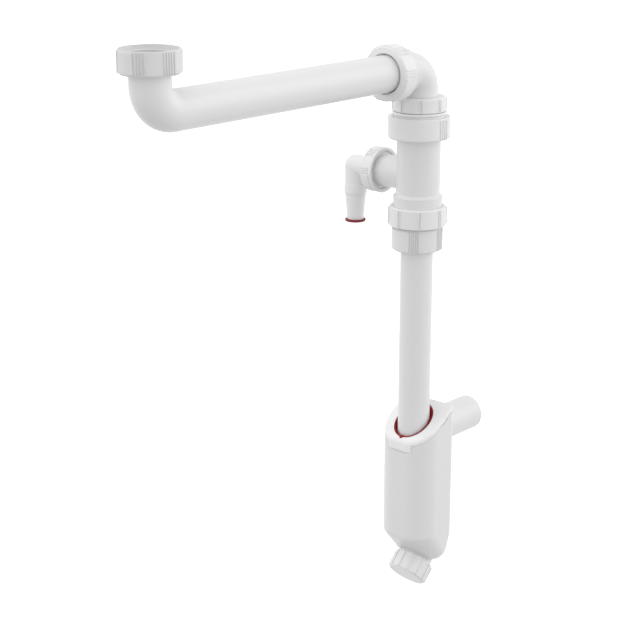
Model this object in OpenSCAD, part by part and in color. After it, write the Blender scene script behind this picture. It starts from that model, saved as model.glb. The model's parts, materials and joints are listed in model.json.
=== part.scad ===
// Space saving sink trap: a long inlet arm takes the waste from the sink to the back wall, where a
// telescopic down pipe with a hose branch dips into a narrow trap with a cleaning cap.
// Origin: centre of the sink nut's mouth. +Z is up and +X runs from the sink to the down pipe.

/* [Sink coupling] */
// Thickness of the flange on the end of the arm
arm_flange_t = 3; // [2:0.5:4]
// How far that flange stands out past the arm
arm_flange_w = 2.15; // [1.5:0.05:5]
// Thickness of the flat washers
washer_t = 2; // [1.5:0.5:3]
// Length of the sink nut's thread
sink_thread_l = 12; // [9:0.5:16]
// Wide part of the sink nut's bore between its thread and its washer
sink_relief_l = 2.7; // [1:0.1:5]
// Depth of that wide part past the thread's crests
sink_relief_w = 1.6; // [0.5:0.1:2.5]
// Wall of the sink nut, from its thread's crests to its grip lands
sink_nut_w = 7.75; // [6:0.05:12]

/* [Inlet arm and bend] */
// Outside diameter of the waste tubes
tube_od = 40; // [32:0.5:50]
// Wall of the waste tubes
tube_wall = 2; // [1.6:0.1:3]
// Distance from the sink axis to the down pipe's axis
arm_reach = 398; // [200:1:500]
// Straight part of the arm between the sink nut and its bend
arm_neck = 11; // [2:1:60]
// Radius on the inside of the arm's bend
arm_throat = 6; // [3:1:30]
// Radius on the inside of the bend above the down pipe
bend_throat = 4; // [2:1:20]
// Depth that the arm is pushed into the bend's socket
tube_insert = 27; // [20:1:40]
// Length of the bend's socket past the end of the arm
socket_floor = 3.7; // [2:0.1:10]
// Length over which the outside of that socket narrows to the bend
socket_shoulder = 6; // [3:0.5:10]
// Straight part of the bend's spigot that shows above the bend nut
spigot_show = 6; // [2:1:40]

/* [Nuts] */
// Thickness of the wall that closes the end of each nut
nut_end = 3; // [2.5:0.5:4]
// Gap round the arm where it enters its nut
arm_nut_gap = 1.9; // [0.5:0.1:2.5]
// Wall of the arm nut, from its thread to its grip lands
arm_nut_w = 5.2; // [3:0.1:8]
// Height of the arm nut
arm_nut_h = 20; // [14:1:24]
// Wall of the bend nut, from its thread to its grip lands
bend_nut_w = 4.2; // [3:0.1:8]
// Height of the bend nut
bend_nut_h = 16; // [14:1:22]
// Wall of the upper union nut, from its thread to its grip lands
top_union_w = 4.2; // [3:0.1:8]
// Height of the upper union nut
top_union_h = 24.2; // [20:0.2:30]
// Wall of the lower union nut, from its thread to its grip lands
bottom_union_w = 3; // [2.5:0.1:8]
// Height of the lower union nut
bottom_union_h = 22; // [19:0.5:30]
// Wall of the down pipe's nut, from its thread to its grip lands
pipe_nut_w = 3.35; // [2.5:0.05:8]
// Height of the down pipe's nut
pipe_nut_h = 27.7; // [22:0.1:34]
// Wall of the branch nut, from its thread to its grip lands
branch_nut_w = 2.5; // [2.4:0.1:8]
// Height of the branch nut
branch_nut_h = 17; // [15:0.5:22]
// Depth of the recesses between the grip lands of the nuts
grip_depth = 1.2; // [0.8:0.1:1.4]
// Angle that each raised grip land covers, in degrees
land_angle = 47; // [30:1:60]
// Width of the fine ribs between the grip lands
rib_w = 1.3; // [0.8:0.1:2]

/* [Sockets and seals] */
// Wall at the mouth of the sockets for a waste tube
socket_wall = 1.8; // [1.2:0.1:4]
// Wall at the mouth of the socket for the down pipe
pipe_socket_wall = 2.05; // [1.2:0.05:4]
// Thickness of the anti-friction rings
slip_ring_t = 1.6; // [1:0.1:2]
// Height of the tapered seals
seal_h = 6.5; // [5:0.5:8]
// Height of the collar at the wide end of each tapered seal
seal_collar_t = 1.5; // [1:0.1:2]
// Width that each tapered seal fills at the mouth of its socket
seal_cone_w = 2.6; // [1.5:0.1:3]
// Width of each tapered seal at its narrow end
seal_tail_w = 0.8; // [0.5:0.1:1.2]

/* [Adaptor, tee and reducer] */
// How far the thin flange round the adaptor stands out past its lower thread
adaptor_flange_w = 2; // [1:0.1:6]
// Thickness of that flange
adaptor_flange_t = 2.2; // [1.5:0.1:4]
// Length of the adaptor below the end of the bend's spigot
adaptor_floor = 3.3; // [2:0.1:8]
// Thread left bare between the adaptor's flange and the upper union nut
union_gap = 3.2; // [0.5:0.1:5]
// Gap round the down pipe where it can slide up into the tee
tee_gap = 3.25; // [1:0.05:8]
// Wall of the tee
tee_wall = 2.8; // [2:0.1:3.5]
// Thickness of the tee's flanges inside the union nuts
tee_flange_t = 3; // [2:0.5:4]
// How far the flange on top of the tee stands out
tee_flange_w = 3.9; // [3:0.1:8]
// How far the tee's wide lower end stands out past its body
tee_skirt_w = 3; // [2:0.1:6]
// Height of that lower end above the lower union nut
tee_skirt_h = 14; // [8:1:30]
// How far the flange at the foot of the tee stands out past that lower end
tee_foot_w = 2.1; // [1.5:0.1:6]
// Distance from the upper union nut down to the branch's axis
branch_down = 43; // [34:1:60]
// Distance from the branch's axis down to the tee's wide lower end
branch_up = 19; // [16:1:80]
// Outside diameter of the branch
branch_od = 36; // [32:0.5:40]
// Height of the branch's thread
branch_thread_w = 3.2; // [2:0.1:5]
// Distance from the tee's axis to the near face of the branch nut
branch_out = 47.5; // [40:0.5:70]
// Wall of the reducer round its wide upper bore
reducer_wall = 5.2; // [3:0.1:8]
// Thickness of the step inside the reducer
reducer_floor = 3; // [2:0.5:5]

/* [Hose elbow] */
// Outside diameter of the elbow
elbow_od = 25; // [20:0.5:28]
// Wall of the elbow
elbow_wall = 2.4; // [2:0.1:2.6]
// Straight part of the elbow between the branch nut and its curve
elbow_show = 12; // [2:0.5:40]
// Radius on the inside of the elbow's curve
elbow_throat = 1; // [0.5:0.5:20]
// How far the collar at the top of the nozzle stands out past the elbow
nozzle_collar_w = 0.5; // [0.2:0.1:3]
// Height of that collar
nozzle_collar_h = 8; // [4:1:12]
// Step from that collar in to the nozzle
nozzle_step_w = 0.7; // [0.3:0.1:2]
// Length of the nozzle below its collar
nozzle_l = 40.5; // [25:0.5:70]
// How much the nozzle's radius narrows down to its tip
nozzle_taper_w = 2.1; // [0:0.1:3]
// Wall at the nozzle's tip
nozzle_wall = 2.7; // [2:0.1:4]
// Length over which the nozzle's bore widens at its top
funnel_l = 5; // [3:0.5:7]
// How far the red cap stands out past the nozzle's tip
spigot_cap_w = 1.55; // [0.5:0.05:4]
// Thickness of that cap
spigot_cap_t = 2.5; // [2:0.5:4]
// Length of the cap's plug inside the nozzle
spigot_plug_l = 8; // [5:1:12]
// Wall of that plug
spigot_plug_wall = 1.8; // [1.2:0.1:3]

/* [Down pipe] */
// Outside diameter of the down pipe
pipe_od = 36.5; // [30:0.5:40]
// Wall of the down pipe
pipe_wall = 1.8; // [1.5:0.1:2.5]
// Length of the down pipe that shows between its nut and the trap's lid
pipe_show = 203.3; // [100:0.1:300]
// Depth of the down pipe below the lid's top
pipe_dip = 112.7; // [90:0.1:200]
// Depth that the down pipe is pushed into the reducer
pipe_insert = 30; // [26:1:31]

/* [Trap] */
// Slope of the lid, in degrees from level
lid_slope = 33.5; // [28:0.5:40]
// Height of the lid's sides, from its top face down to the seam, square to that face
lid_t = 4.4; // [3.6:0.1:8]
// Wall of the trap body and the lid
trap_wall = 2.6; // [2:0.1:3]
// Radius that rounds the outer edge of the lid
lid_edge_r = 3; // [1:0.1:3]
// Distance from the pipe seal to the trap's front
front_w = 4.3; // [4:0.1:10]
// Distance from the pipe seal to the trap's back wall
back_w = 12; // [10:0.5:20]
// Distance from the pipe seal to each side of the trap
side_w = 12.7; // [9:0.1:20]
// Radius of the trap's front corners
front_r = 27; // [22:1:28]
// Radius of the trap's back corners
back_r = 10; // [9:1:12]
// Radius that rounds the front bottom edge of the trap
bottom_r = 10; // [8:1:12]
// Radius of the rounded corners at the back of the trap's bottom
keel_r = 18; // [16:1:20]
// Height of the room between the down pipe's end and the slanted bottom, on the pipe's axis
sump = 53; // [48:1:100]
// Depth of the outlet's axis below the lid's top on the pipe's axis
outlet_down = 18.7; // [16:0.1:30]
// Length of the outlet behind the trap
outlet_l = 71.5; // [50:0.5:150]
// Height that the lid's back edge falls behind its crest
lid_back_fall = 7; // [4:0.5:9]
// Length of that fall
lid_back_w = 6.5; // [3:0.5:8]
// Length of the seam's level part at the back
seam_level_w = 11; // [10.5:0.5:14]
// Width of the snap tabs at the lid's sides
tab_w = 12; // [8:1:14]
// Height of those tabs
tab_h = 1.5; // [1:0.1:3]
// Distance from the pipe's axis to the front edge of those tabs
tab_x = 7.5; // [2:0.5:8]
// Height of the slots in the body under those tabs
snap_slot_h = 1.2; // [0.6:0.1:2]
// Width of the thumb tab at the lid's front
thumb_w = 34; // [20:1:36]
// Height of that tab below the seam
thumb_h = 7; // [4:0.5:9]
// Height of the slot in the body under that tab
thumb_slot_h = 1.8; // [1:0.1:3]
// Depth of the slots in the body
slot_depth = 1.3; // [0.8:0.1:1.5]

/* [Pipe seal] */
// Width of the red seal round the down pipe
pipe_seal_w = 3.65; // [3:0.05:5]
// Height of that seal
pipe_seal_l = 7; // [5.5:0.5:7.5]
// Width of its raised outer lip
pipe_seal_lip = 1.4; // [1:0.1:2]
// Depth of its groove between that lip and the pipe
pipe_seal_groove = 3.6; // [2:0.1:4]
// Length of its pull tab on the lid
pull_tab_l = 2.2; // [1:0.1:2.4]
// Width of that pull tab
pull_tab_w = 3; // [2:0.5:6]
// Wall of the lid's sleeve that holds the seal
sleeve_w = 2.4; // [1.8:0.1:3]
// Height of that sleeve
sleeve_l = 8; // [6.5:0.5:8.5]

/* [Cleaning cap] */
// Outside diameter of the neck that the cap screws onto
clean_neck_d = 39.5; // [34:0.5:42]
// Wall of that neck
clean_neck_wall = 2.5; // [2:0.1:4]
// Wall of the cleaning cap, from its thread to its grip ribs
clean_cap_w = 3.95; // [2.5:0.05:6]
// Height of the cleaning cap
clean_cap_h = 22.5; // [17:0.5:25]
// Bare neck between the trap's bottom and the cap
clean_gap = 3; // [1:0.5:6]
// Distance from the pipe's axis to the middle of the neck, where it leaves the bottom
clean_x = 9; // [4:1:10]

/* [Hidden] */
$fn = 96;

// Clearance between pieces that turn or slide on each other
play = 0.3;
// Overshoot of a cutting tool past the face that it cuts, and its reach where it cuts everything
cut = 1;
reach = 300;
// Colours of the mouldings, the rubber and the red pieces
white_plastic = [0.93, 0.93, 0.93];
grey_rubber = [0.32, 0.33, 0.35];
red_rubber = [0.62, 0.1, 0.12];

// Bevels on the edges of the nuts and of the red cap
nut_edge = 1.5;
cap_edge = 0.6;
// How far a grip rib stays below the lands, and the collar of a tapered seal inside its nut's thread
rib_low = 0.2;
seal_in = 1;

// Radii that several pieces share
tube_r = tube_od / 2;
bore_d = tube_od - 2 * tube_wall;
pipe_r = pipe_od / 2;
sink_thread_r = tube_r + arm_flange_w + play;
comp_r = tube_r + seal_cone_w + 2 * play + socket_wall;
pipe_thread_r = pipe_r + seal_cone_w + 2 * play + pipe_socket_wall;
arm_bend_r = tube_r + arm_throat;
bend_r = tube_r + bend_throat;
tee_bore_r = pipe_r + tee_gap;
tee_r = tee_bore_r + tee_wall;
tee_skirt_r = tee_r + tee_skirt_w;
top_union_r = tee_r + tee_flange_w + play;
bottom_union_r = tee_skirt_r + tee_foot_w + play;
reducer_bore_r = bottom_union_r - reducer_wall;
branch_r = branch_od / 2;
branch_thread_r = branch_r + branch_thread_w;

// Heights inside the sink nut, below its mouth
sink_washer_z = -(sink_thread_l + sink_relief_l + washer_t);
arm_flange_z = sink_washer_z - arm_flange_t;
sink_end_z = arm_flange_z - play;
sink_nut_h = nut_end - sink_end_z;
arm_drop = sink_nut_h + arm_neck + arm_bend_r;

// A compression joint, from the outer face of its nut to the mouth of its socket
seal_at = nut_end + play + slip_ring_t;
mouth_at = seal_at + seal_collar_t + play;
flare_h = seal_h - seal_collar_t + 2 * play;

// Places along the arm, measured back from the down pipe's axis
bend_socket_l = tube_insert + play + socket_floor;
bend_mouth_x = -(bend_r + bend_socket_l);
arm_nut_x = bend_mouth_x - mouth_at;
arm_end_x = bend_mouth_x + tube_insert;

// Heights below the arm's axis on the down pipe's axis
bend_nut_z = -(bend_r + spigot_show);
adaptor_mouth_z = bend_nut_z - mouth_at;
flange_top_z = bend_nut_z - bend_nut_h - play;
flange_low_z = flange_top_z - adaptor_flange_t;
top_union_z = flange_low_z - union_gap;
top_union_end_z = top_union_z - top_union_h;
tee_flange_z = top_union_end_z + nut_end + play;
top_washer_z = tee_flange_z + tee_flange_t;
adaptor_end_z = top_washer_z + washer_t + play;
spigot_end_z = adaptor_end_z + adaptor_floor + play;
branch_z = top_union_end_z - branch_down;
skirt_top_z = branch_z - branch_up;
bottom_union_z = skirt_top_z - tee_skirt_h;
tee_low_flange_z = bottom_union_z - nut_end - play;
tee_end_z = tee_low_flange_z - tee_flange_t;
bottom_washer_z = tee_end_z - play;
reducer_top_z = bottom_washer_z - washer_t;
bottom_union_end_z = bottom_union_z - bottom_union_h;
reducer_step_z = bottom_union_end_z + 2 * play;
reducer_floor_z = reducer_step_z + reducer_floor;
pipe_nut_top_z = bottom_union_end_z - play;
pipe_nut_z = pipe_nut_top_z - pipe_nut_h;
reducer_mouth_z = pipe_nut_z + mouth_at;
pipe_top_z = reducer_mouth_z + pipe_insert;
rim_z = pipe_nut_z - pipe_show;

// Places along the branch, measured out from the tee's axis
branch_nut_far = branch_out + branch_nut_h;
elbow_flange_y = branch_nut_far - nut_end - play;
elbow_face_y = elbow_flange_y - tee_flange_t;
branch_face_y = elbow_face_y - washer_t - play;
branch_thread_y = branch_out + nut_end;
elbow_r = elbow_od / 2 + elbow_throat;
elbow_way_d = elbow_od - 2 * elbow_wall;
nozzle_y = branch_nut_far + elbow_show + elbow_r;

// Radii of the nozzle, and heights below the branch's axis
collar_r = elbow_od / 2 + nozzle_collar_w;
nozzle_top_r = collar_r - nozzle_step_w;
nozzle_tip_r = nozzle_top_r - nozzle_taper_w;
nozzle_bore_r = nozzle_tip_r - nozzle_wall;
collar_low_z = -elbow_r - nozzle_collar_h;
nozzle_drop = nozzle_l - collar_low_z;

// The trap's walls and corners, measured from the pipe's axis, and its slanted bottom, which falls at
// 45 degrees
pipe_seal_r = pipe_r + play + pipe_seal_w;
sleeve_r = pipe_seal_r + play;
trap_front = sleeve_r + front_w;
trap_back = sleeve_r + back_w;
half_w = sleeve_r + side_w;
trap_depth = pipe_dip + sump;
slant = sqrt(2);
front_x = front_r - trap_front;
front_y = half_w - front_r;
front_z = -trap_depth - front_x + bottom_r * slant + front_r - bottom_r;
back_x = trap_back - back_r;
back_y = half_w - back_r;
keel_x = trap_back - keel_r;
keel_y = half_w - keel_r;
keel_z = -trap_depth - keel_x + keel_r * slant;
// Depth that the back columns run down into the rounded corners
column_lap = 3;
column_z = keel_z + keel_r - column_lap;
// The hollow's floor is this wide each side of the middle, and its sides reach full width above keel_rise
hollow_keel_y = 8;
keel_rise = 18;
// Width of the cut that keeps the hollow clear of the rounded front bottom edge
toe_cut = 16;
clean_z = -trap_depth - clean_x;
clean_neck_r = clean_neck_d / 2;
clean_cap_z = clean_gap + clean_cap_h;
// Depth that the neck's tube runs into the trap's bottom
clean_neck_in = 12;

// The lid's top rises one lid_rise for each unit towards the back, and its seam lies lid_drop below it
lid_rise = tan(lid_slope);
lid_drop = lid_t / cos(lid_slope);
lid_skin = trap_wall / cos(lid_slope);
lid_crest_x = trap_back - lid_back_w;
lid_crest_z = lid_crest_x * lid_rise;
seam_level_x = trap_back - seam_level_w;
thumb_low_z = -trap_front * lid_rise - lid_drop - thumb_h;
hollow_top = lid_crest_z - lid_skin - lid_back_fall / 2;
// Height of the pull tab over the lid, and its thickness
pull_tab_over = 0.3;
pull_tab_t = 0.9;

// Moves children to the crossing of the arm's axis and the down pipe's axis
module at_stack() {
    translate([arm_reach, 0, -arm_drop]) children();
}

// Moves children to the place where the lid's top crosses the pipe's axis
module at_lid() {
    at_stack() translate([0, 0, rim_z]) children();
}

// Moves children to the arm's axis at x, with their +Z pointing away from the sink
module along_arm(x) {
    at_stack() translate([x, 0, 0]) rotate([0, 90, 0]) children();
}

// Moves children to the branch's axis at y, with their +Z pointing away from the tee
module along_branch(y) {
    at_stack() translate([0, y, branch_z]) rotate([-90, 0, 0]) children();
}

// Moves children to the neck of the trap's bottom, with their +Z pointing out of it
module along_clean() {
    at_lid() translate([clean_x, 0, clean_z]) rotate([0, -135, 0]) children();
}

// Plain ring between two heights
module ring(outer_r, inner_r, low, high) {
    rotate_extrude() polygon([[inner_r, low], [outer_r, low], [outer_r, high], [inner_r, high]]);
}

// Pie slice of half angle a that reaches past radius r
module slice(r, a) {
    polygon([[0, 0], [r, -r * tan(a)], [r, r * tan(a)]]);
}

// Raised lands and fine ribs round a nut, seen from its end. Each of the zones round the nut has a
// group of ribs, and where land is over 0 it also has a raised land of that angle between its groups.
module grip_outline(outer_r, zones, land, ribs, pitch) {
    core = outer_r - grip_depth;
    for (zone = [0:zones - 1]) rotate(zone * 360 / zones) {
        if (land > 0) intersection() {
            difference() {
                circle(r = outer_r);
                circle(r = core - grip_depth);
            }
            slice(2 * outer_r, land / 2);
        }
        for (side = land > 0 ? [-1, 1] : [1], k = [0:ribs - 1])
            rotate(land > 0 ? side * (land / 2 + pitch * (k + 1)) : pitch * (k - (ribs - 1) / 2))
                translate([core - grip_depth, -rib_w / 2]) square([2 * grip_depth - rib_low, rib_w]);
    }
}

// A nut that stands on the outer face of its closed end, with its thread opening upwards. Its wall is
// wall_w thick from the bore to the grip lands.
module grip_nut(h, bore_r, wall_w, hole_r, turn = 0, zones = 3, land = land_angle, ribs = 3, pitch = 6) {
    outer_r = bore_r + wall_w;
    core = outer_r - grip_depth;
    bevel = grip_depth + cut + nut_edge;
    rotate(turn) union() {
        rotate_extrude() polygon([
            [hole_r, 0], [core - nut_edge, 0], [core, nut_edge], [core, h - nut_edge / 2],
            [core - nut_edge / 2, h], [bore_r, h], [bore_r, nut_end], [hole_r, nut_end]
        ]);
        intersection() {
            translate([0, 0, nut_edge]) linear_extrude(h - 2 * nut_edge)
                grip_outline(outer_r, zones, land, ribs, pitch);
            rotate_extrude() polygon([
                [0, 0], [core, 0], [outer_r + cut, bevel], [outer_r + cut, h - bevel], [core, h], [0, h]
            ]);
        }
    }
}

// Anti-friction ring on a tube of radius r inside a nut
module slip_ring(r, outer_r) {
    ring(outer_r, r + play, nut_end + play, seal_at);
}

// Tapered seal on a tube of radius r, with its collar towards the nut's closed end
module taper_seal(r, outer_r) {
    inner = r + play;
    rotate_extrude() polygon([
        [inner, seal_at], [outer_r - seal_in, seal_at], [outer_r - seal_in, seal_at + seal_collar_t],
        [inner + seal_cone_w, seal_at + seal_collar_t], [inner + seal_tail_w, seal_at + seal_h],
        [inner, seal_at + seal_h]
    ]);
}

// Hollow of a socket for a tube of radius r: the seal's flare, a bore of this depth and the waterway, with
// radius way_r and length way_l
module socket_hollow(r, depth, way_r, way_l) {
    inner = r + play;
    rotate_extrude() polygon([
        [0, -cut], [inner + seal_cone_w + play, -cut], [inner + seal_cone_w + play, 0],
        [inner + seal_tail_w + play, flare_h], [inner, flare_h],
        [inner, depth], [way_r, depth], [way_r, depth + way_l], [0, depth + way_l]
    ]);
}

// Tube of diameter d down the sink axis, round the bend and along the arm
module arm_path(d) {
    translate([0, 0, -arm_drop + arm_bend_r]) cylinder(d = d, h = arm_drop - arm_bend_r + sink_washer_z);
    translate([arm_bend_r, 0, -arm_drop + arm_bend_r]) rotate([90, 0, 0]) rotate([0, 0, 180])
        rotate_extrude(angle = 90) translate([arm_bend_r, 0]) circle(d = d);
    along_arm(arm_bend_r - arm_reach) cylinder(d = d, h = arm_reach + arm_end_x - arm_bend_r);
}

module sink_coupling_nut() {
    color(white_plastic) difference() {
        translate([0, 0, -sink_nut_h])
            grip_nut(sink_nut_h, sink_thread_r, sink_nut_w, tube_r + play, turn = 166, ribs = 4, pitch = 5.5);
        ring(sink_thread_r + sink_relief_w, tube_r, sink_end_z, -sink_thread_l);
    }
}

module sink_washer() {
    color(grey_rubber)
        ring(sink_thread_r - play, tube_r - tube_wall, sink_washer_z, sink_washer_z + washer_t);
}

module inlet_arm() {
    color(white_plastic) difference() {
        union() {
            arm_path(tube_od);
            translate([0, 0, arm_flange_z]) cylinder(r = sink_thread_r - play, h = arm_flange_t);
        }
        arm_path(bore_d);
        translate([0, 0, arm_flange_z - cut]) cylinder(d = bore_d, h = arm_flange_t + 2 * cut);
        along_arm(arm_end_x - cut) cylinder(d = bore_d, h = 2 * cut);
    }
}

module arm_nut() {
    color(white_plastic) along_arm(arm_nut_x)
        grip_nut(arm_nut_h, comp_r + play, arm_nut_w, tube_r + arm_nut_gap, turn = 60);
}

module arm_slip_ring() {
    color(white_plastic) along_arm(arm_nut_x) slip_ring(tube_r, comp_r);
}

module arm_seal() {
    color(grey_rubber) along_arm(arm_nut_x) taper_seal(tube_r, comp_r);
}

// The bend's curve, with its socket along the arm and its spigot down the stack
module bend_curve(d) {
    translate([-bend_r, 0, -bend_r]) rotate([90, 0, 0]) rotate_extrude(angle = 90)
        translate([bend_r, 0]) circle(d = d);
}

module bend() {
    color(white_plastic) difference() {
        union() {
            at_stack() {
                bend_curve(tube_od);
                translate([0, 0, spigot_end_z]) cylinder(d = tube_od, h = -bend_r - spigot_end_z);
            }
            along_arm(bend_mouth_x) rotate_extrude() polygon([
                [0, 0], [comp_r, 0], [comp_r, bend_socket_l - socket_shoulder], [tube_r, bend_socket_l],
                [0, bend_socket_l]
            ]);
        }
        at_stack() {
            bend_curve(bore_d);
            translate([0, 0, spigot_end_z - cut]) cylinder(d = bore_d, h = cut - bend_r - spigot_end_z);
        }
        along_arm(bend_mouth_x)
            socket_hollow(tube_r, tube_insert + play, bore_d / 2, socket_floor);
    }
}

module bend_nut() {
    color(white_plastic) at_stack() translate([0, 0, bend_nut_z]) rotate([180, 0, 0])
        grip_nut(bend_nut_h, comp_r + play, bend_nut_w, tube_r + play, turn = 143, zones = 8, land = 0,
                 ribs = 2, pitch = 4);
}

module bend_slip_ring() {
    color(white_plastic) at_stack() translate([0, 0, bend_nut_z]) rotate([180, 0, 0])
        slip_ring(tube_r, comp_r);
}

module bend_seal() {
    color(grey_rubber) at_stack() translate([0, 0, bend_nut_z]) rotate([180, 0, 0])
        taper_seal(tube_r, comp_r);
}

module top_adaptor() {
    flange_r = max(top_union_r, comp_r) + adaptor_flange_w;
    color(white_plastic) at_stack() difference() {
        rotate_extrude() polygon([
            [0, adaptor_end_z], [top_union_r, adaptor_end_z], [top_union_r, flange_low_z],
            [flange_r, flange_low_z], [flange_r, flange_top_z],
            [comp_r, flange_top_z], [comp_r, adaptor_mouth_z], [0, adaptor_mouth_z]
        ]);
        translate([0, 0, adaptor_mouth_z]) rotate([180, 0, 0])
            socket_hollow(tube_r, adaptor_mouth_z - spigot_end_z + play, bore_d / 2, adaptor_floor + cut);
    }
}

module top_union_nut() {
    color(white_plastic) at_stack() translate([0, 0, top_union_end_z])
        grip_nut(top_union_h, top_union_r + play, top_union_w, tee_r + play, turn = 276.5, land = 0,
                 ribs = 4, pitch = 6);
}

module top_union_washer() {
    color(grey_rubber) at_stack()
        ring(top_union_r - play, tee_bore_r, top_washer_z, top_washer_z + washer_t);
}

module tee() {
    color(white_plastic) difference() {
        union() {
            at_stack() rotate_extrude() polygon([
                [0, tee_end_z], [bottom_union_r - play, tee_end_z], [bottom_union_r - play, tee_low_flange_z],
                [tee_skirt_r, tee_low_flange_z], [tee_skirt_r, skirt_top_z - tee_skirt_w],
                [tee_r, skirt_top_z], [tee_r, tee_flange_z], [top_union_r - play, tee_flange_z],
                [top_union_r - play, top_washer_z], [0, top_washer_z]
            ]);
            along_branch(0) {
                cylinder(d = branch_od, h = branch_face_y);
                translate([0, 0, branch_thread_y])
                    cylinder(r = branch_thread_r, h = branch_face_y - branch_thread_y);
            }
        }
        at_stack() translate([0, 0, tee_end_z - cut])
            cylinder(r = tee_bore_r, h = top_washer_z - tee_end_z + 2 * cut);
        along_branch(0) cylinder(d = branch_od - 2 * tee_wall, h = branch_face_y + cut);
    }
}

module branch_nut() {
    color(white_plastic) along_branch(branch_nut_far) rotate([180, 0, 0])
        grip_nut(branch_nut_h, branch_thread_r + play, branch_nut_w, elbow_od / 2 + play, turn = 90);
}

module branch_washer() {
    color(grey_rubber) along_branch(0)
        ring(branch_thread_r - play, elbow_od / 2 - elbow_wall, elbow_face_y - washer_t, elbow_face_y);
}

// Waterway or outside of the hose elbow, from the branch nut round to the top of the nozzle
module elbow_path(d) {
    along_branch(elbow_face_y) cylinder(d = d, h = nozzle_y - elbow_r - elbow_face_y);
    at_stack() translate([0, nozzle_y - elbow_r, branch_z - elbow_r]) rotate([90, 0, 90])
        rotate_extrude(angle = 90) translate([elbow_r, 0]) circle(d = d);
}

module hose_elbow() {
    color(white_plastic) difference() {
        union() {
            elbow_path(elbow_od);
            along_branch(elbow_face_y) cylinder(r = branch_thread_r - play, h = tee_flange_t);
            at_stack() translate([0, nozzle_y, branch_z]) rotate_extrude() polygon([
                [0, -nozzle_drop], [nozzle_tip_r, -nozzle_drop], [nozzle_top_r, collar_low_z],
                [collar_r, collar_low_z + nozzle_step_w], [elbow_od / 2, -elbow_r], [0, -elbow_r]
            ]);
        }
        elbow_path(elbow_way_d);
        along_branch(elbow_face_y - cut) cylinder(d = elbow_way_d, h = 2 * cut);
        at_stack() translate([0, nozzle_y, branch_z]) rotate_extrude() polygon([
            [0, -nozzle_drop - cut], [nozzle_bore_r, -nozzle_drop - cut],
            [nozzle_bore_r, -elbow_r - funnel_l], [elbow_way_d / 2, -elbow_r], [0, -elbow_r]
        ]);
    }
}

module spigot_cap() {
    cap_r = nozzle_tip_r + spigot_cap_w;
    plug_r = nozzle_bore_r - play;
    color(red_rubber) at_stack() translate([0, nozzle_y, branch_z - nozzle_drop - play]) difference() {
        rotate_extrude() polygon([
            [0, -spigot_cap_t], [cap_r - cap_edge, -spigot_cap_t], [cap_r, cap_edge - spigot_cap_t],
            [cap_r, 0], [plug_r, 0], [plug_r, spigot_plug_l], [0, spigot_plug_l]
        ]);
        cylinder(r = plug_r - spigot_plug_wall, h = spigot_plug_l + cut);
    }
}

module bottom_union_nut() {
    color(white_plastic) at_stack() translate([0, 0, bottom_union_z]) rotate([180, 0, 0])
        grip_nut(bottom_union_h, bottom_union_r + play, bottom_union_w, tee_skirt_r + play, turn = 137,
                 zones = 8, land = 0, ribs = 2, pitch = 4);
}

module bottom_union_washer() {
    color(grey_rubber) at_stack()
        ring(bottom_union_r - play, reducer_bore_r, reducer_top_z, bottom_washer_z);
}

module reducer() {
    color(white_plastic) at_stack() difference() {
        rotate_extrude() polygon([
            [0, reducer_mouth_z], [pipe_thread_r, reducer_mouth_z], [pipe_thread_r, reducer_step_z],
            [bottom_union_r, reducer_step_z], [bottom_union_r, reducer_top_z], [0, reducer_top_z]
        ]);
        translate([0, 0, reducer_floor_z])
            cylinder(r = reducer_bore_r, h = reducer_top_z - reducer_floor_z + cut);
        translate([0, 0, reducer_mouth_z])
            socket_hollow(pipe_r, reducer_floor_z - reducer_mouth_z, pipe_r + play, cut);
    }
}

module pipe_nut() {
    color(white_plastic) at_stack() translate([0, 0, pipe_nut_z])
        grip_nut(pipe_nut_h, pipe_thread_r + play, pipe_nut_w, pipe_r + play, turn = 245.5, ribs = 4,
                 pitch = 5.5);
}

module pipe_slip_ring() {
    color(white_plastic) at_stack() translate([0, 0, pipe_nut_z]) slip_ring(pipe_r, pipe_thread_r);
}

module pipe_nut_seal() {
    color(grey_rubber) at_stack() translate([0, 0, pipe_nut_z]) taper_seal(pipe_r, pipe_thread_r);
}

module down_pipe() {
    length = pipe_top_z - rim_z + pipe_dip;
    color(white_plastic) at_lid() translate([0, 0, -pipe_dip]) difference() {
        cylinder(d = pipe_od, h = length);
        translate([0, 0, -cut]) cylinder(d = pipe_od - 2 * pipe_wall, h = length + 2 * cut);
    }
}

// Everything under the lid's top lowered by drop, with the fall at its back edge
module under_slope(drop) {
    crest_z = lid_crest_z - drop;
    rotate([90, 0, 0]) linear_extrude(2 * reach, center = true) polygon([
        [-reach, -reach], [reach, -reach], [reach, crest_z - lid_back_fall],
        [trap_back, crest_z - lid_back_fall], [lid_crest_x, crest_z], [-reach, -reach * lid_rise - drop]
    ]);
}

// Outside of lid and body in one smooth form
module trap_form() {
    hull() {
        for (turn = [0:30:90]) intersection() {
            inset = lid_edge_r * (1 - sin(turn));
            for (side = [-1, 1]) {
                translate([front_x, side * front_y, front_z])
                    cylinder(r = front_r - inset, h = half_w - front_z, $fn = 64);
                translate([back_x, side * back_y, column_z])
                    cylinder(r = back_r - inset, h = half_w - column_z, $fn = 32);
            }
            under_slope(lid_edge_r * (1 - cos(turn)));
        }
        for (side = [-1, 1]) {
            translate([front_x, side * front_y, front_z]) rotate_extrude($fn = 64)
                translate([front_r - bottom_r, 0]) intersection() {
                    circle(r = bottom_r, $fn = 32);
                    translate([0, -bottom_r]) square(2 * bottom_r);
                }
            translate([keel_x, side * keel_y, keel_z]) sphere(r = keel_r, $fn = 32);
        }
    }
}

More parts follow.
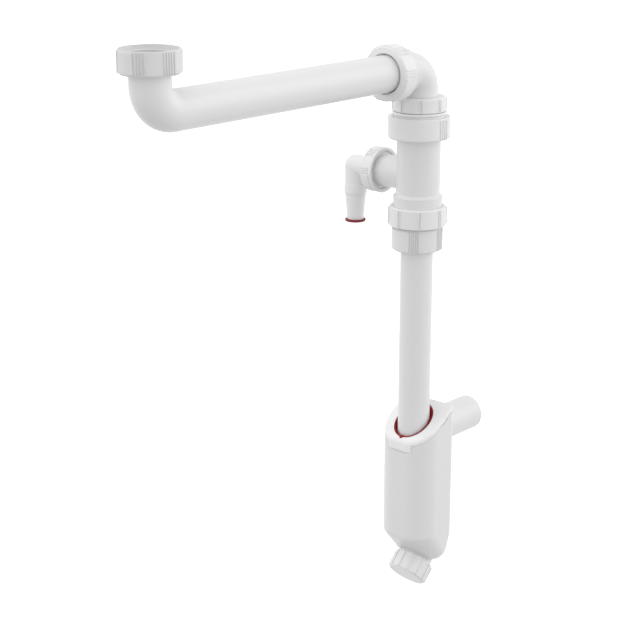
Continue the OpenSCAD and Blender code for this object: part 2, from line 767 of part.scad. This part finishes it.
// Outline of the hollow inside the trap, seen from above
module hollow_plan() {
    for (side = [-1, 1]) {
        translate([front_x, side * front_y]) circle(r = front_r - trap_wall);
        translate([back_x, side * back_y]) circle(r = back_r - trap_wall);
    }
    translate([trap_wall - trap_front, -front_y]) square([trap_front + back_x, 2 * front_y]);
    translate([front_x, trap_wall - half_w]) square([back_x - front_x, 2 * (half_w - trap_wall)]);
    translate([front_x, -back_y]) square([trap_back - trap_wall - front_x, 2 * back_y]);
}

// Hollow inside lid and body
module trap_hollow() {
    floor_z = keel_z - keel_r + trap_wall;
    slant_z = -trap_depth + trap_wall * slant;
    intersection() {
        translate([0, 0, floor_z]) linear_extrude(hollow_top - floor_z) hollow_plan();
        rotate([90, 0, 0]) linear_extrude(2 * half_w, center = true) polygon([
            [-trap_front, slant_z + trap_front + 2 * toe_cut],
            [toe_cut - trap_front, slant_z + trap_front - toe_cut], [slant_z - floor_z, floor_z],
            [keel_x, floor_z], [trap_back - trap_wall, column_z], [trap_back, hollow_top],
            [(hollow_top + lid_skin) / lid_rise, hollow_top], [-trap_front, -trap_front * lid_rise - lid_skin]
        ]);
        translate([-trap_front, 0, 0]) rotate([90, 0, 90]) linear_extrude(trap_front + trap_back) polygon([
            [-half_w, column_z + keel_rise], [-hollow_keel_y, floor_z], [hollow_keel_y, floor_z],
            [half_w, column_z + keel_rise], [half_w, hollow_top], [-half_w, hollow_top]
        ]);
    }
}

// Slab that follows the lid's slope, between two depths below the lid's top
module lid_slab(low, high) {
    rotate([90, 0, 0]) linear_extrude(2 * reach, center = true) polygon([
        [-reach, -reach * lid_rise - low], [reach, reach * lid_rise - low],
        [reach, reach * lid_rise - high], [-reach, -reach * lid_rise - high]
    ]);
}

// Everything above the seam between body and lid, gap higher, with the lid's snap tabs at its sides and
// the thumb tab at its front
module above_seam(gap) {
    function seam(x) = x * lid_rise - lid_drop + gap;
    tab_low_x = tab_x + gap;
    tab_high_x = tab_x + tab_w - gap;
    rotate([90, 0, 0]) linear_extrude(2 * reach, center = true) polygon([
        [-reach, seam(-reach)], [tab_low_x, seam(tab_low_x)], [tab_low_x, seam(tab_low_x) - tab_h],
        [tab_high_x, seam(tab_high_x) - tab_h], [tab_high_x, seam(tab_high_x)],
        [seam_level_x, seam(seam_level_x)], [reach, seam(seam_level_x)], [reach, reach], [-reach, reach]
    ]);
    translate([-trap_front - cut, gap - thumb_w / 2, thumb_low_z + gap])
        cube([2 * cut + trap_wall, thumb_w - 2 * gap, thumb_h + lid_drop]);
}

// Slots in the outside of the body, under the thumb tab and under the two snap tabs
module tab_slots() {
    function low(x) = x * lid_rise - lid_drop - tab_h - snap_slot_h;
    function high(x) = low(x) + snap_slot_h + cut / 2;
    end_x = tab_x + tab_w;
    translate([-trap_front - cut, -thumb_w / 2, thumb_low_z - thumb_slot_h])
        cube([cut + slot_depth, thumb_w, thumb_slot_h + cut / 2]);
    for (side = [-1, 1]) translate([0, side * half_w, 0]) rotate([90, 0, 0])
        linear_extrude(2 * slot_depth, center = true) polygon([
            [tab_x, low(tab_x)], [end_x, low(end_x)], [end_x, high(end_x)], [tab_x, high(tab_x)]
        ]);
}

module trap_lid() {
    color(white_plastic) at_lid() difference() {
        union() {
            difference() {
                intersection() {
                    trap_form();
                    above_seam(play);
                }
                trap_hollow();
            }
            intersection() {
                ring(sleeve_r + sleeve_w, sleeve_r - cut, -half_w, half_w);
                lid_slab(sleeve_l, lid_skin / 2);
            }
        }
        translate([0, 0, -2 * half_w]) cylinder(r = sleeve_r, h = 4 * half_w);
    }
}

module pipe_seal() {
    lip_r = pipe_seal_r - pipe_seal_lip;
    module pull_tab(from_r, to_r) {
        translate([-to_r, -pull_tab_w / 2, -half_w]) cube([to_r - from_r, pull_tab_w, half_w]);
    }
    color(red_rubber) at_lid() {
        difference() {
            intersection() {
                ring(pipe_seal_r, pipe_r + play, -half_w, half_w);
                lid_slab(pipe_seal_l, 0);
            }
            intersection() {
                translate([0, 0, -half_w]) cylinder(r = lip_r, h = 2 * half_w);
                lid_slab(pipe_seal_groove, -half_w);
            }
        }
        intersection() {
            pull_tab(lip_r + pipe_seal_lip / 4, pipe_seal_r + pull_tab_l);
            lid_slab(-pull_tab_over, -pull_tab_over - pull_tab_t);
        }
        intersection() {
            pull_tab(lip_r + pipe_seal_lip / 3, pipe_seal_r - pipe_seal_lip / 4);
            lid_slab(cut, -pull_tab_over - pull_tab_t / 2);
        }
    }
}

module trap_body() {
    neck_l = clean_cap_z - nut_end - washer_t - 2 * play;
    outlet_reach = trap_back + outlet_l - back_x;
    color(white_plastic) difference() {
        union() {
            at_lid() difference() {
                trap_form();
                above_seam(0);
            }
            at_lid() translate([back_x, 0, -outlet_down]) rotate([0, 90, 0])
                cylinder(r = tube_r, h = outlet_reach);
            along_clean() translate([0, 0, -clean_neck_in])
                cylinder(r = clean_neck_r, h = clean_neck_in + neck_l);
        }
        at_lid() trap_hollow();
        at_lid() tab_slots();
        at_lid() translate([back_x - cut, 0, -outlet_down]) rotate([0, 90, 0])
            cylinder(d = bore_d, h = outlet_reach + 2 * cut);
        along_clean() translate([0, 0, -clean_neck_in - cut])
            cylinder(r = clean_neck_r - clean_neck_wall, h = clean_neck_in + neck_l + 2 * cut);
    }
}

module cleaning_cap() {
    color(white_plastic) along_clean() translate([0, 0, clean_cap_z]) rotate([180, 0, 0])
        grip_nut(clean_cap_h, clean_neck_r + play, clean_cap_w, 0, turn = 30, zones = 12, land = 0, ribs = 1,
                 pitch = 5);
}

module cleaning_seal() {
    color(grey_rubber) along_clean() translate([0, 0, clean_cap_z - nut_end - washer_t])
        cylinder(r = clean_neck_r, h = washer_t);
}

sink_coupling_nut();
sink_washer();
inlet_arm();
arm_nut();
arm_slip_ring();
arm_seal();
bend();
bend_nut();
bend_slip_ring();
bend_seal();
top_adaptor();
top_union_nut();
top_union_washer();
tee();
branch_nut();
branch_washer();
hose_elbow();
spigot_cap();
bottom_union_nut();
bottom_union_washer();
reducer();
pipe_nut();
pipe_slip_ring();
pipe_nut_seal();
down_pipe();
trap_lid();
pipe_seal();
trap_body();
cleaning_cap();
cleaning_seal();
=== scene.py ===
"""A space saving sink trap in white plastic, held up by its sink nut, in soft studio light."""

import json
import math

import bmesh
import bpy
from mathutils import Matrix, Vector


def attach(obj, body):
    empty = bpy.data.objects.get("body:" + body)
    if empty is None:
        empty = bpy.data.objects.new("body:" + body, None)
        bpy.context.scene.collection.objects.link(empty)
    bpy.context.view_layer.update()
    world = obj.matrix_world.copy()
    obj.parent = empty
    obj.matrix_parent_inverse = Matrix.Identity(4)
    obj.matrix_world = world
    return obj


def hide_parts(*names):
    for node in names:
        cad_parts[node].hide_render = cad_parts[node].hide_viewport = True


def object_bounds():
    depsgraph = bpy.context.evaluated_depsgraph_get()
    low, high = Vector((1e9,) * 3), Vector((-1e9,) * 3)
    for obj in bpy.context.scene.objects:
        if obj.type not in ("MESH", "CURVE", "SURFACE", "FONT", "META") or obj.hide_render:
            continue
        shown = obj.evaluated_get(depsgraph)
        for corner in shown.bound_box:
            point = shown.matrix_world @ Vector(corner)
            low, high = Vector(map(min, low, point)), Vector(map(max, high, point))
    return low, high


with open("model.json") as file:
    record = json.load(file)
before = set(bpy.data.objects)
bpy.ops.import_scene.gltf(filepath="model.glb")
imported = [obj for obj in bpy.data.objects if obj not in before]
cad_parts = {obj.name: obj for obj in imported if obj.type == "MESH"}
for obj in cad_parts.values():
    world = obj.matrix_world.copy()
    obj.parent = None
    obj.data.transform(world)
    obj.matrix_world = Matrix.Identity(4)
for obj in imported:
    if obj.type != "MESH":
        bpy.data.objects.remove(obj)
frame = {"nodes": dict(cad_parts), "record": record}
cad_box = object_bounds()

MM = 0.001

# The photograph's camera, in the part's own frame
CAMERA_PLACE = Vector((-1.01659, -1.09602, 0.19166))
CAMERA_HEADING = 48.474
CAMERA_DIP = 16.476
PHOTO_LENS = 94.76
CAMERA_REACH = 50

# Broad lamps: where each stands round the object, counted from the camera's side towards the right of the
# picture, its height, its strength and how wide it looks, with angles in degrees
RIGHT_LAMP = {"round": 86, "height": 0, "strength": 1.74, "width": 90}
LEFT_LAMP = {"round": -82, "height": 42, "strength": 1.02, "width": 90}
LAMP_DISTANCE = 3
ROOM_LIGHT = 0.69
# The floor's depth below the part and its half width in metres, its grey, its roughness and how much light it
# seems to give off where it is seen directly
FLOOR_DROP = 0.15
FLOOR_HALF = 8
FLOOR_GREY = 0.54
FLOOR_ROUGH = 0.9
FLOOR_LIFT = 0.75

# Colours of the mouldings, all one white plastic: most of them; the nuts and the hose elbow, a lighter white
# that is painted light; the sink nut, a darker white that is painted shade; and the glossy lid and adaptor, a
# lighter white that is painted light
WHITE = (0.80, 0.80, 0.805)
PAINTED_LIGHT_NUT_WHITE = (0.86, 0.86, 0.865)
PAINTED_SHADE_WHITE = (0.755, 0.755, 0.76)
PAINTED_LIGHT_WHITE = (0.90, 0.90, 0.90)
GREY_RUBBER = (0.09, 0.09, 0.10)
RED_RUBBER = (0.30, 0.010, 0.014)
RED_PLASTIC = (0.25, 0.035, 0.05)
# Scales of the materials' slow colour change and of their grain, and the depth of that grain
CLOUD_SCALE = 9
GRAIN_SCALE = 1500
GRAIN_DEPTH = 0.05 * MM
# Radius of the softly rounded edges, and how uneven the colour is
SOFT_EDGE = 0.4 * MM
UNEVEN = 0.012
RUBBER_SHINE = 0.25

# New pieces: points closer than this are one, and edges sharper than this angle stay sharp
MERGE = 0.001 * MM
SHARP_ANGLE = 30

# Bevels and grips of the nuts, in mm: the bevel at the closed end, the width of a fine rib, its height as a
# share of a land's, and the width over which a land or rib rises
NUT_BEVEL = 1.5
RIB_WIDTH = 1.3
RIB_SHARE = 0.83
GRIP_FLANK = 0.25
# How far from its end a grip reaches most of its height, what share that is, and how far its full height
GRIP_RISE = 0.15
GRIP_RISE_SHARE = 0.75
GRIP_FULL = 0.6
# Points round a nut, besides those at the edges of its grips
NUT_SIDES = 96
# Each nut stands on the outer face of its closed end at its place, and tilt turns it over about the X axis.
# Its core is the radius between the grips and its outer the radius of the lands. Its rim, where it isn't a
# plain bevel, and its inside list height and radius, up to its mouth and from there down to its hole. Turn is
# the middle of its first grip zone. Lengths are in mm and angles in degrees.
# A nut's shade picks its material: the nuts' lighter white is painted light and the sink nut's darker white is
# painted shade
NUTS = {
    "sink_coupling_nut": {
        "body": "coupling", "shade": "painted_shade", "place": (0, 0, -23), "tilt": 0,
        "height": 23, "core": 29.0, "outer": 30.19,
        "rim": [(22.6, 29.0), (23, 28.6)],
        "inside": [(23, 28.0), (18.7, 27.8), (18.4, 22.45), (11, 22.45), (11, 24.05), (3, 24.05),
                   (3, 20.3), (0, 20.3)],
        "turn": 176, "zones": 3, "land": 41, "ribs": 4, "pitch": 5.5},
    "bend_nut": {
        "body": "bend_nut", "shade": "nut", "place": (398, 0, -90), "tilt": 180,
        "height": 16, "core": 29.0, "outer": 30.2,
        "inside": [(16, 25.3), (3, 25.3), (3, 20.3), (0, 20.3)],
        "turn": 137.5, "zones": 8, "land": 0, "ribs": 2, "pitch": 4},
    "top_union_nut": {
        "body": "top_union_nut", "shade": "nut", "place": (398, 0, -135.9), "tilt": 0,
        "height": 24.2, "core": 34.3, "outer": 35.18,
        "inside": [(24.2, 28.8), (3, 28.8), (3, 24.6), (0, 24.6)],
        "turn": 269.5, "zones": 2, "land": 0, "ribs": 4, "pitch": 6},
    "branch_nut": {
        "body": "branch_nut", "shade": "nut", "place": (398, 64.5, -178.9), "tilt": 90,
        "height": 17, "core": 24.4, "outer": 25.5,
        "rim": [(13.2, 24.4), (13.8, 25.5), (16.4, 25.6), (17, 25.1)],
        "inside": [(17, 22.9), (15.6, 21.5), (3, 21.5), (3, 12.8), (0, 12.8)],
        "turn": 90, "zones": 3, "land": 47, "ribs": 3, "pitch": 6},
    "pipe_nut": {
        "body": "pipe_nut", "shade": "moulded", "place": (398, 0, -261.9), "tilt": 0,
        "height": 27.7, "core": 27.4, "outer": 28.6,
        "rim": [(25.9, 27.4), (26.3, 26.8), (27.7, 25.2)],
        "inside": [(27.7, 23.8), (3, 23.8), (3, 18.55), (0, 18.55)],
        "turn": 157.7, "zones": 2, "land": 84, "ribs": 5, "pitch": 4.4},
}

# The hose elbow in mm: its corner, then distance and radius from the flange to the corner, height and radius
# from the corner down to the tip, and the same for its bore
ELBOW_CORNER = (398, 90, -178.9)
ELBOW_R = 12.3
ELBOW_BORE_R = 10.1
ELBOW_IN = [(58.2, 20.9), (61.2, 20.9), (61.2, 12.3)]
ELBOW_DOWN = [(-200.2, 12.3), (-200.5, 12.95), (-210.4, 12.95), (-210.8, 12.0), (-215.6, 11.6),
              (-234.7, 9.9), (-240.9, 9.45)]
ELBOW_BORE = [(-240.9, 7.5), (-200.4, 7.5), (-195.4, 10.1)]
ELBOW_SIDES = 96
CORNER_STEPS = 12

# The web that closes the cleaning neck's inner end behind the trap's round corner, in mm: the middle of the
# neck on the slanted bottom, depths into the trap with the web's radius there, and how far from the neck's
# axis it begins
NECK_PLACE = (407, 0, -639.9)
NECK_WEB = [(9.5, 17.3), (11.9, 19.7), (12.6, 19.5), (13.3, 18.7)]
NECK_WEB_START = 7
NECK_WEB_HALF_STEPS = 16

# Thread ridges: the middle of each one's lower end in mm, its wall's radius, height inwards or outwards, pitch,
# turns and width at the wall, in mm too, and its crest as a share of that width
THREAD_STEPS = 72
THREAD_SWELL_STEPS = 8
THREAD_SUNK = 0.15
THREAD_CREST = 0.3
SINK_THREAD = {"low": (0, 0, -11.2), "radius": 22.45, "depth": -1.0, "pitch": 3.0, "turns": 1.8, "foot": 1.7}
ADAPTOR_THREAD = {"low": (398, 0, -110.6), "radius": 28.5, "depth": 0.9, "pitch": 1.0, "turns": 1, "foot": 1.4}


def add_camera():
    data = bpy.data.cameras.new("photo_camera")
    data.lens = PHOTO_LENS
    data.clip_end = CAMERA_REACH
    camera = bpy.data.objects.new("photo_camera", data)
    camera.location = CAMERA_PLACE
    camera.rotation_euler = (math.radians(90 - CAMERA_DIP), 0, math.radians(-CAMERA_HEADING))
    bpy.context.scene.collection.objects.link(camera)
    bpy.context.scene.camera = camera


def seen_directly(nodes):
    """A socket that is 1 for the rays that show a background: camera, glossy and transmission rays."""
    path = nodes.new("ShaderNodeLightPath")
    first = nodes.new("ShaderNodeMath")
    first.operation = "MAXIMUM"
    second = nodes.new("ShaderNodeMath")
    second.operation = "MAXIMUM"
    links = first.id_data.links
    links.new(path.outputs["Is Camera Ray"], first.inputs[0])
    links.new(path.outputs["Is Glossy Ray"], first.inputs[1])
    links.new(first.outputs[0], second.inputs[0])
    links.new(path.outputs["Is Transmission Ray"], second.inputs[1])
    return second.outputs[0]


def add_world():
    world = bpy.data.worlds.new("white_room")
    world.use_nodes = True
    nodes, links = world.node_tree.nodes, world.node_tree.links
    background = nodes["Background"]
    background.inputs["Color"].default_value = (1, 1, 1, 1)
    strength = nodes.new("ShaderNodeMapRange")
    strength.inputs["To Min"].default_value = ROOM_LIGHT
    strength.inputs["To Max"].default_value = 1
    links.new(seen_directly(nodes), strength.inputs["Value"])
    links.new(strength.outputs["Result"], background.inputs["Strength"])
    bpy.context.scene.world = world


def add_lamp(name, lamp):
    data = bpy.data.lights.new(name, "SUN")
    data.energy = lamp["strength"]
    data.angle = math.radians(lamp["width"])
    light = bpy.data.objects.new(name, data)
    turn = math.radians(lamp["round"] - CAMERA_HEADING - 180)
    rise = math.radians(lamp["height"])
    towards = Vector((-math.sin(turn) * math.cos(rise), math.cos(turn) * math.cos(rise), math.sin(rise)))
    light.rotation_mode = "QUATERNION"
    light.rotation_quaternion = towards.to_track_quat("Z", "Y")
    light.location = towards * LAMP_DISTANCE
    bpy.context.scene.collection.objects.link(light)


def add_floor():
    level = cad_box[0].z - FLOOR_DROP
    mesh = bpy.data.meshes.new("floor")
    corners = [(-1, -1), (1, -1), (1, 1), (-1, 1)]
    mesh.from_pydata([(x * FLOOR_HALF, y * FLOOR_HALF, level) for x, y in corners], [], [(0, 1, 2, 3)])
    floor = bpy.data.objects.new("floor", mesh)
    bpy.context.scene.collection.objects.link(floor)
    material = bpy.data.materials.new("pale_floor")
    material.use_nodes = True
    nodes, links = material.node_tree.nodes, material.node_tree.links
    shader = nodes["Principled BSDF"]
    shader.inputs["Base Color"].default_value = (FLOOR_GREY, FLOOR_GREY, FLOOR_GREY, 1)
    shader.inputs["Roughness"].default_value = FLOOR_ROUGH
    shader.inputs["Specular IOR Level"].default_value = 0
    shader.inputs["Emission Color"].default_value = (1, 1, 1, 1)
    lift = nodes.new("ShaderNodeMapRange")
    lift.inputs["To Max"].default_value = FLOOR_LIFT
    links.new(seen_directly(nodes), lift.inputs["Value"])
    links.new(lift.outputs["Result"], shader.inputs["Emission Strength"])
    floor.data.materials.append(material)


def make_material(name, colour, rough, grain, shine=0.5):
    """A moulded material: faintly uneven colour, a fine grain and softly rounded edges."""
    material = bpy.data.materials.new(name)
    material.use_nodes = True
    nodes, links = material.node_tree.nodes, material.node_tree.links
    shader = nodes["Principled BSDF"]
    shader.inputs["Roughness"].default_value = rough
    shader.inputs["Specular IOR Level"].default_value = shine
    where = nodes.new("ShaderNodeTexCoord")
    cloud = nodes.new("ShaderNodeTexNoise")
    cloud.inputs["Scale"].default_value = CLOUD_SCALE
    cloud.inputs["Detail"].default_value = 2
    ramp = nodes.new("ShaderNodeValToRGB")
    ramp.color_ramp.elements[0].color = (*[c * (1 - UNEVEN) for c in colour], 1)
    ramp.color_ramp.elements[1].color = (*[c * (1 + UNEVEN) for c in colour], 1)
    fine = nodes.new("ShaderNodeTexNoise")
    fine.inputs["Scale"].default_value = GRAIN_SCALE
    fine.inputs["Detail"].default_value = 1
    bump = nodes.new("ShaderNodeBump")
    bump.inputs["Strength"].default_value = grain
    bump.inputs["Distance"].default_value = GRAIN_DEPTH
    bevel = nodes.new("ShaderNodeBevel")
    bevel.samples = 4
    bevel.inputs["Radius"].default_value = SOFT_EDGE
    links.new(where.outputs["Object"], cloud.inputs["Vector"])
    links.new(where.outputs["Object"], fine.inputs["Vector"])
    links.new(cloud.outputs["Fac"], ramp.inputs["Fac"])
    links.new(ramp.outputs["Color"], shader.inputs["Base Color"])
    links.new(fine.outputs["Fac"], bump.inputs["Height"])
    links.new(bevel.outputs["Normal"], bump.inputs["Normal"])
    links.new(bump.outputs["Normal"], shader.inputs["Normal"])
    return material


def coat(obj, material):
    obj.data.materials.clear()
    obj.data.materials.append(material)


def add_materials():
    """Gives every CAD node its material and returns the materials by name."""
    made = {
        "moulded": make_material("moulded_white", WHITE, 0.36, 0.25),
        "tube": make_material("tube_white", WHITE, 0.30, 0.10),
        # Painted light: a lighter copy of the white for the nuts and the hose elbow
        "nut": make_material("nut_white", PAINTED_LIGHT_NUT_WHITE, 0.42, 0.30),
        # Painted shade: a darker copy of the white for the sink nut and its thread
        "painted_shade": make_material("painted_shade_white", PAINTED_SHADE_WHITE, 0.42, 0.30),
        # Painted light: a lighter, glossy copy of the white for the lid and the adaptor
        "painted_light": make_material("painted_light_white", PAINTED_LIGHT_WHITE, 0.22, 0.10),
        "grey": make_material("grey_rubber", GREY_RUBBER, 0.7, 0.5),
        "red": make_material("red_rubber", RED_RUBBER, 0.55, 0.4, shine=RUBBER_SHINE),
        "red_cap": make_material("red_plastic", RED_PLASTIC, 0.6, 0.3, shine=RUBBER_SHINE),
    }
    tubes = ("inlet_arm", "down_pipe")
    for name, node in frame["nodes"].items():
        slot_name = next(s["material_slot"] for s in frame["record"]["subparts"] if s["node"] == name)
        if slot_name == "grey_rubber":
            kind = "grey"
        elif slot_name == "red_rubber":
            kind = "red"
        elif slot_name == "red_plastic":
            kind = "red_cap"
        elif name in tubes:
            kind = "tube"
        # The lid and the adaptor get the lighter white, which is painted light
        elif name in ("trap_lid", "top_adaptor"):
            kind = "painted_light"
        # The nuts get the lighter white, which is painted light
        elif name.endswith("_nut"):
            kind = "nut"
        else:
            kind = "moulded"
        coat(node, made[kind])
    return made


def new_mesh(name, points, faces, material, body):
    """A new piece in the row frame that rides on a body."""
    mesh = bpy.data.meshes.new(name)
    mesh.from_pydata(points, [], faces)
    shape = bmesh.new()
    shape.from_mesh(mesh)
    bmesh.ops.remove_doubles(shape, verts=shape.verts, dist=MERGE)
    bmesh.ops.recalc_face_normals(shape, faces=shape.faces)
    shape.to_mesh(mesh)
    shape.free()
    mesh.polygons.foreach_set("use_smooth", [True] * len(mesh.polygons))
    mesh.set_sharp_from_angle(angle=math.radians(SHARP_ANGLE))
    piece = bpy.data.objects.new(name, mesh)
    bpy.context.scene.collection.objects.link(piece)
    piece.data.materials.append(material)
    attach(piece, body)
    return piece


def helix_ridge(thread):
    """Points and faces of a screw thread's ridge round the Z axis, open at no end."""
    lengths = [thread[key] * MM for key in ("radius", "depth", "pitch", "foot")]
    radius, depth, pitch, foot = lengths
    crest = foot * THREAD_CREST
    root = radius - math.copysign(THREAD_SUNK * MM, depth)
    low = Vector(thread["low"]) * MM
    count = int(THREAD_STEPS * thread["turns"])
    points, faces = [], []
    for i in range(count + 1):
        angle = 2 * math.pi * i / THREAD_STEPS
        along = pitch * i / THREAD_STEPS
        tip = radius + depth * min(1, i / THREAD_SWELL_STEPS, (count - i) / THREAD_SWELL_STEPS)
        for r, z in [(root, -foot / 2), (tip, -crest / 2), (tip, crest / 2), (root, foot / 2)]:
            points.append(low + Vector((r * math.cos(angle), r * math.sin(angle), along + z)))
    for i in range(count):
        for k in range(4):
            a, b = 4 * i + k, 4 * i + (k + 1) % 4
            faces.append((a, b, b + 4, a + 4))
    last = 4 * count
    faces += [(3, 2, 1, 0), (last, last + 1, last + 2, last + 3)]
    return points, faces


def skin(rings):
    """Points and faces of a closed skin through rings of equally many points, last joined to first."""
    count = len(rings[0])
    faces = []
    for i in range(len(rings)):
        here, there = i * count, (i + 1) % len(rings) * count
        for k in range(count):
            after = (k + 1) % count
            faces.append((here + k, here + after, there + after, there + k))
    return [point for ring in rings for point in ring], faces


def grip_edges(nut):
    """Each land and rib of a nut as its middle and half angle in degrees, and its share of a land's height."""
    count, pitch, half_land = nut["ribs"], nut["pitch"], nut["land"] / 2
    half_rib = RIB_WIDTH / 2 / (nut["outer"] * math.radians(1))
    raised, ribs = [], []
    for zone in range(nut["zones"]):
        middle = nut["turn"] + zone * 360 / nut["zones"]
        if half_land:
            raised.append((middle, half_land, 1))
            ribs += [middle + side * (half_land + pitch * (k + 1)) for side in (-1, 1) for k in range(count)]
        else:
            ribs += [middle + (k - (count - 1) / 2) * pitch for k in range(count)]
    return raised + [(middle, half_rib, RIB_SHARE) for middle in ribs]


def grips(nut):
    """Angles round a nut, each with the share of a land's height that its grips have there."""
    flank = GRIP_FLANK / (nut["outer"] * math.radians(1))
    raised = grip_edges(nut)
    angles = {round(i * 360 / NUT_SIDES, 3) for i in range(NUT_SIDES)}
    for middle, half, _ in raised:
        edges = (half, half - flank)
        angles |= {round((middle + side * edge) % 360, 3) for side in (-1, 1) for edge in edges}
    found = []
    for angle in sorted(angles):
        share = 0
        for middle, half, height in raised:
            off = abs((angle - middle + 180) % 360 - 180)
            share = max(share, height * min(1, (half - off) / flank))
        found.append((math.radians(angle), share))
    return found


def add_nuts(made):
    """Nuts with the photograph's widths, mouths and grips, each in the place of its CAD node."""
    for name, nut in NUTS.items():
        high, core, grip = nut["height"], nut["core"], nut["outer"] - nut["core"]
        top = nut.get("rim", [(high - NUT_BEVEL / 2, core), (high, core - NUT_BEVEL / 2)])
        grip_end = top[0][0] - NUT_BEVEL / 2
        rows = [(0, core - NUT_BEVEL, 0), (NUT_BEVEL, core, 0),
                (NUT_BEVEL + GRIP_RISE, core, GRIP_RISE_SHARE), (NUT_BEVEL + GRIP_FULL, core, 1),
                (grip_end - GRIP_FULL, core, 1), (grip_end - GRIP_RISE, core, GRIP_RISE_SHARE),
                (grip_end, core, 0)]
        rows += [(z, r, 0) for z, r in top + nut["inside"]]
        tilt = Matrix.Rotation(math.radians(nut["tilt"]), 4, "X")
        stand = Matrix.Translation(Vector(nut["place"]) * MM) @ tilt
        around = grips(nut)
        rings = []
        for z, r, part in rows:
            ring = []
            for angle, share in around:
                reach = (r + grip * part * share) * MM
                ring.append(stand @ Vector((reach * math.cos(angle), reach * math.sin(angle), z * MM)))
            rings.append(ring)
        points, faces = skin(rings)
        piece = new_mesh(name + "_photo", points, faces, made[nut["shade"]], nut["body"])
        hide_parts(name)


def elbow_corner(radius):
    """Rings round the elbow's corner: a sphere on its outside and a sharp mitre on its inside."""
    rings = []
    for step in range(CORNER_STEPS + 1):
        bend = math.radians(90) * step / CORNER_STEPS
        ring = []
        for k in range(ELBOW_SIDES):
            across = radius * math.cos(2 * math.pi * k / ELBOW_SIDES)
            out = radius * math.sin(2 * math.pi * k / ELBOW_SIDES)
            turned = (out * math.sin(bend), out * math.cos(bend)) if out > 0 else (out, out)
            ring.append((Vector(ELBOW_CORNER) + Vector((across, *turned))) * MM)
        rings.append(ring)
    return rings


def elbow_ring(radius, out=None, height=None):
    """A ring of the elbow's straight parts, either at a distance along Y or at a height."""
    ring = []
    for k in range(ELBOW_SIDES):
        across = radius * math.cos(2 * math.pi * k / ELBOW_SIDES)
        side = radius * math.sin(2 * math.pi * k / ELBOW_SIDES)
        if height is None:
            point = (ELBOW_CORNER[0] + across, out, ELBOW_CORNER[2] + side)
        else:
            point = (ELBOW_CORNER[0] + across, ELBOW_CORNER[1] + side, height)
        ring.append(Vector(point) * MM)
    return ring


def add_elbow(made):
    """The hose elbow with the photograph's round corner, collar and taper."""
    rings = [elbow_ring(r, out=y) for y, r in ELBOW_IN]
    rings += elbow_corner(ELBOW_R)
    rings += [elbow_ring(r, height=z) for z, r in ELBOW_DOWN + ELBOW_BORE]
    rings += reversed(elbow_corner(ELBOW_BORE_R))
    rings.append(elbow_ring(ELBOW_BORE_R, out=ELBOW_IN[0][0]))
    points, faces = skin(rings)
    # The elbow takes the nuts' lighter white, which is painted light
    piece = new_mesh("hose_elbow_photo", points, faces, made["nut"], "hose_elbow")
    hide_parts("hose_elbow")


def add_neck_web(made):
    """Closes the crescent between the cleaning neck and the trap's round corner, which the solid has open."""
    downhill = Vector((1, 0, -1)).normalized()
    inwards = Vector((1, 0, 1)).normalized()
    level = Vector((0, 1, 0))
    shape = bmesh.new()
    for depth, radius in NECK_WEB:
        half = math.acos(NECK_WEB_START / radius)
        for k in range(-NECK_WEB_HALF_STEPS, NECK_WEB_HALF_STEPS + 1):
            angle = half * k / NECK_WEB_HALF_STEPS
            across = downhill * radius * math.cos(angle) + level * radius * math.sin(angle)
            shape.verts.new((Vector(NECK_PLACE) + inwards * depth + across) * MM)
    hull = bmesh.ops.convex_hull(shape, input=shape.verts)
    bmesh.ops.delete(shape, geom=[v for v in hull["geom_interior"] if isinstance(v, bmesh.types.BMVert)])
    shape.verts.index_update()
    points = [v.co.copy() for v in shape.verts]
    faces = [[v.index for v in face.verts] for face in shape.faces]
    shape.free()
    new_mesh("neck_web", points, faces, made["moulded"], "trap")


def add_threads(made):
    points, faces = helix_ridge(SINK_THREAD)
    # The sink thread takes the darker white, which is painted shade
    new_mesh("sink_thread_ridge", points, faces, made["painted_shade"], "coupling")
    points, faces = helix_ridge(ADAPTOR_THREAD)
    # The adaptor thread takes the lighter white, which is painted light
    new_mesh("adaptor_thread_ridge", points, faces, made["painted_light"], "adaptor")


add_camera()
add_world()
add_lamp("right_soft_lamp", RIGHT_LAMP)
add_lamp("left_soft_lamp", LEFT_LAMP)
add_floor()
materials = add_materials()
add_nuts(materials)
add_elbow(materials)
add_neck_web(materials)
add_threads(materials)

bpy.context.scene.view_settings.view_transform = "Standard"
